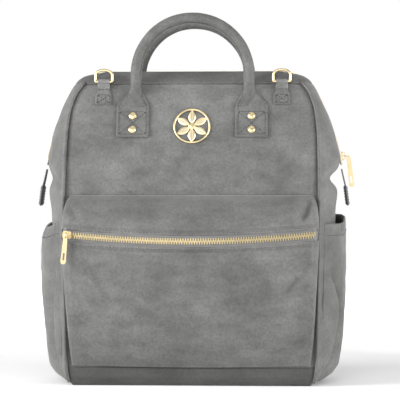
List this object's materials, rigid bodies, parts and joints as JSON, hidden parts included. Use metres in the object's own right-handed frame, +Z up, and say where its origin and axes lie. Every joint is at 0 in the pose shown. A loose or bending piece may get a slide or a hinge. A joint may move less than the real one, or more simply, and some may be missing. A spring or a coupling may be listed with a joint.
{
  "type": "diaper bag",
  "caption": "Wide-mouth nappy backpack with sprung frame opening, rolled handles, zipped front pouch, side bottle pockets and padded back straps.",
  "frame": {"origin": "centre of the flat base, on the surface the bag stands on", "axes": "+Z up, front panel faces -Y, X across the bag's width"},
  "size_m": [0.3948, 0.2068, 0.457],
  "materials": {
    "leather": "soft matt imitation leather, mottled grey",
    "strap": "padded imitation leather over mesh",
    "webbing": "woven nylon",
    "tape": "woven zip tape",
    "lining": "coated lining cloth",
    "board": "stiff base board",
    "gold": "pale gold plating, polished",
    "wire": "sprung steel wire"
  },
  "bodies": {
    "bag": {"base_panel": "leather", "base_board": "board", "front_panel": "leather", "back_panel": "leather", "side_panel_left": "leather", "side_panel_right": "leather", "lining": "lining", "front_fold": "leather", "back_fold": "leather", "pouch_lower_panel": "leather", "pouch_upper_panel": "leather", "pouch_zip_tape": "tape", "pouch_zip_teeth": "gold", "bottle_pocket_left": "leather", "bottle_pocket_right": "leather", "piping_lower": "leather", "strap_left": "strap", "strap_right": "strap", "strap_webbing": "webbing", "webbing_anchors": "leather", "zip_tail_left": "tape", "zip_tail_right": "tape", "zip_end_tab_left": "leather", "zip_end_tab_right": "leather"},
    "front_mouth": {"front_panel_upper": "leather", "front_mouth_band": "leather", "front_frame_wire": "wire", "front_zip_tape": "tape", "front_zip_teeth": "gold", "front_handle_tabs": "leather", "front_rivets": "gold", "medallion": "gold", "front_ring_tabs": "leather", "front_piping": "leather", "front_lining_upper": "lining"},
    "back_mouth": {"back_panel_upper": "leather", "back_mouth_band": "leather", "back_frame_wire": "wire", "back_zip_tape": "tape", "back_zip_teeth": "gold", "back_handle_tabs": "leather", "back_rivets": "gold", "back_ring_tabs": "leather", "back_piping": "leather", "back_lining_upper": "lining", "strap_yoke": "leather"},
    "front_grip": {"front_handle": "leather"},
    "back_grip": {"back_handle": "leather"},
    "ring_front_left": {"front_ring_left": "gold"},
    "ring_front_right": {"front_ring_right": "gold"},
    "ring_back_left": {"back_ring_left": "gold"},
    "ring_back_right": {"back_ring_right": "gold"},
    "pouch_zip_slider": {"pouch_slider": "gold"},
    "pouch_zip_pull": {"pouch_pull": "gold", "pouch_pull_ring": "gold"},
    "mouth_zip_slider": {"mouth_slider": "gold"},
    "mouth_zip_pull": {"mouth_pull": "gold", "mouth_pull_ring": "gold"},
    "buckle_left": {"adjuster_left": "gold"},
    "buckle_right": {"adjuster_right": "gold"}
  },
  "joints": [
    {"name": "front_frame_open", "type": "hinge", "parent": "bag", "child": "front_mouth", "pos_m": [0, 0, 0.268], "axis": [1, 0, 0], "range_deg": [0, 25], "deforming": ["front_fold"]},
    {"name": "back_frame_open", "type": "hinge", "parent": "bag", "child": "back_mouth", "pos_m": [0, 0, 0.268], "axis": [-1, 0, 0], "range_deg": [0, 25], "deforming": ["back_fold", "strap_left", "strap_right"]},
    {"name": "front_handle_swing", "type": "hinge", "parent": "front_mouth", "child": "front_grip", "pos_m": [0, -0.0345, 0.37], "axis": [1, 0, 0], "range_deg": [-17, 112]},
    {"name": "back_handle_swing", "type": "hinge", "parent": "back_mouth", "child": "back_grip", "pos_m": [0, 0.0345, 0.37], "axis": [-1, 0, 0], "range_deg": [-17, 112]},
    {"name": "front_left_ring_swing", "type": "hinge", "parent": "front_mouth", "child": "ring_front_left", "pos_m": [-0.11, -0.031, 0.372], "axis": [1, 0, 0], "range_deg": [-20, 150]},
    {"name": "front_right_ring_swing", "type": "hinge", "parent": "front_mouth", "child": "ring_front_right", "pos_m": [0.11, -0.031, 0.372], "axis": [1, 0, 0], "range_deg": [-20, 150]},
    {"name": "back_left_ring_swing", "type": "hinge", "parent": "back_mouth", "child": "ring_back_left", "pos_m": [-0.11, 0.031, 0.372], "axis": [-1, 0, 0], "range_deg": [-20, 150]},
    {"name": "back_right_ring_swing", "type": "hinge", "parent": "back_mouth", "child": "ring_back_right", "pos_m": [0.11, 0.031, 0.372], "axis": [-1, 0, 0], "range_deg": [-20, 150]},
    {"name": "pouch_zip_travel", "type": "hinge", "parent": "bag", "child": "pouch_zip_slider", "pos_m": [0, 0.50545, 0.53361], "axis": [0, -0.4961, 0.8682], "range_deg": [0, 23.3]},
    {"name": "pouch_pull_lift", "type": "hinge", "parent": "pouch_zip_slider", "child": "pouch_zip_pull", "pos_m": [-0.14731, -0.114, 0.18399], "axis": [-0.9792, 0.1761, 0.1006], "range_deg": [0, 100]},
    {"name": "mouth_zip_travel", "type": "hinge", "parent": "front_mouth", "child": "mouth_zip_slider", "pos_m": [-0.12157, 0, 0.2149], "axis": [0, -1, 0], "range_deg": [0, 13.5]},
    {"name": "mouth_pull_lift", "type": "hinge", "parent": "mouth_zip_slider", "child": "mouth_zip_pull", "pos_m": [0.19016, 0, 0.2804], "axis": [0, -1, 0], "range_deg": [0, 45]},
    {"name": "strap_left_adjust", "type": "slide", "parent": "bag", "child": "buckle_left", "axis": [-0.1483, -0.023, -0.9887], "range_m": [0, 0.036]},
    {"name": "strap_right_adjust", "type": "slide", "parent": "bag", "child": "buckle_right", "axis": [0.1483, -0.023, -0.9887], "range_m": [0, 0.036]}
  ]
}
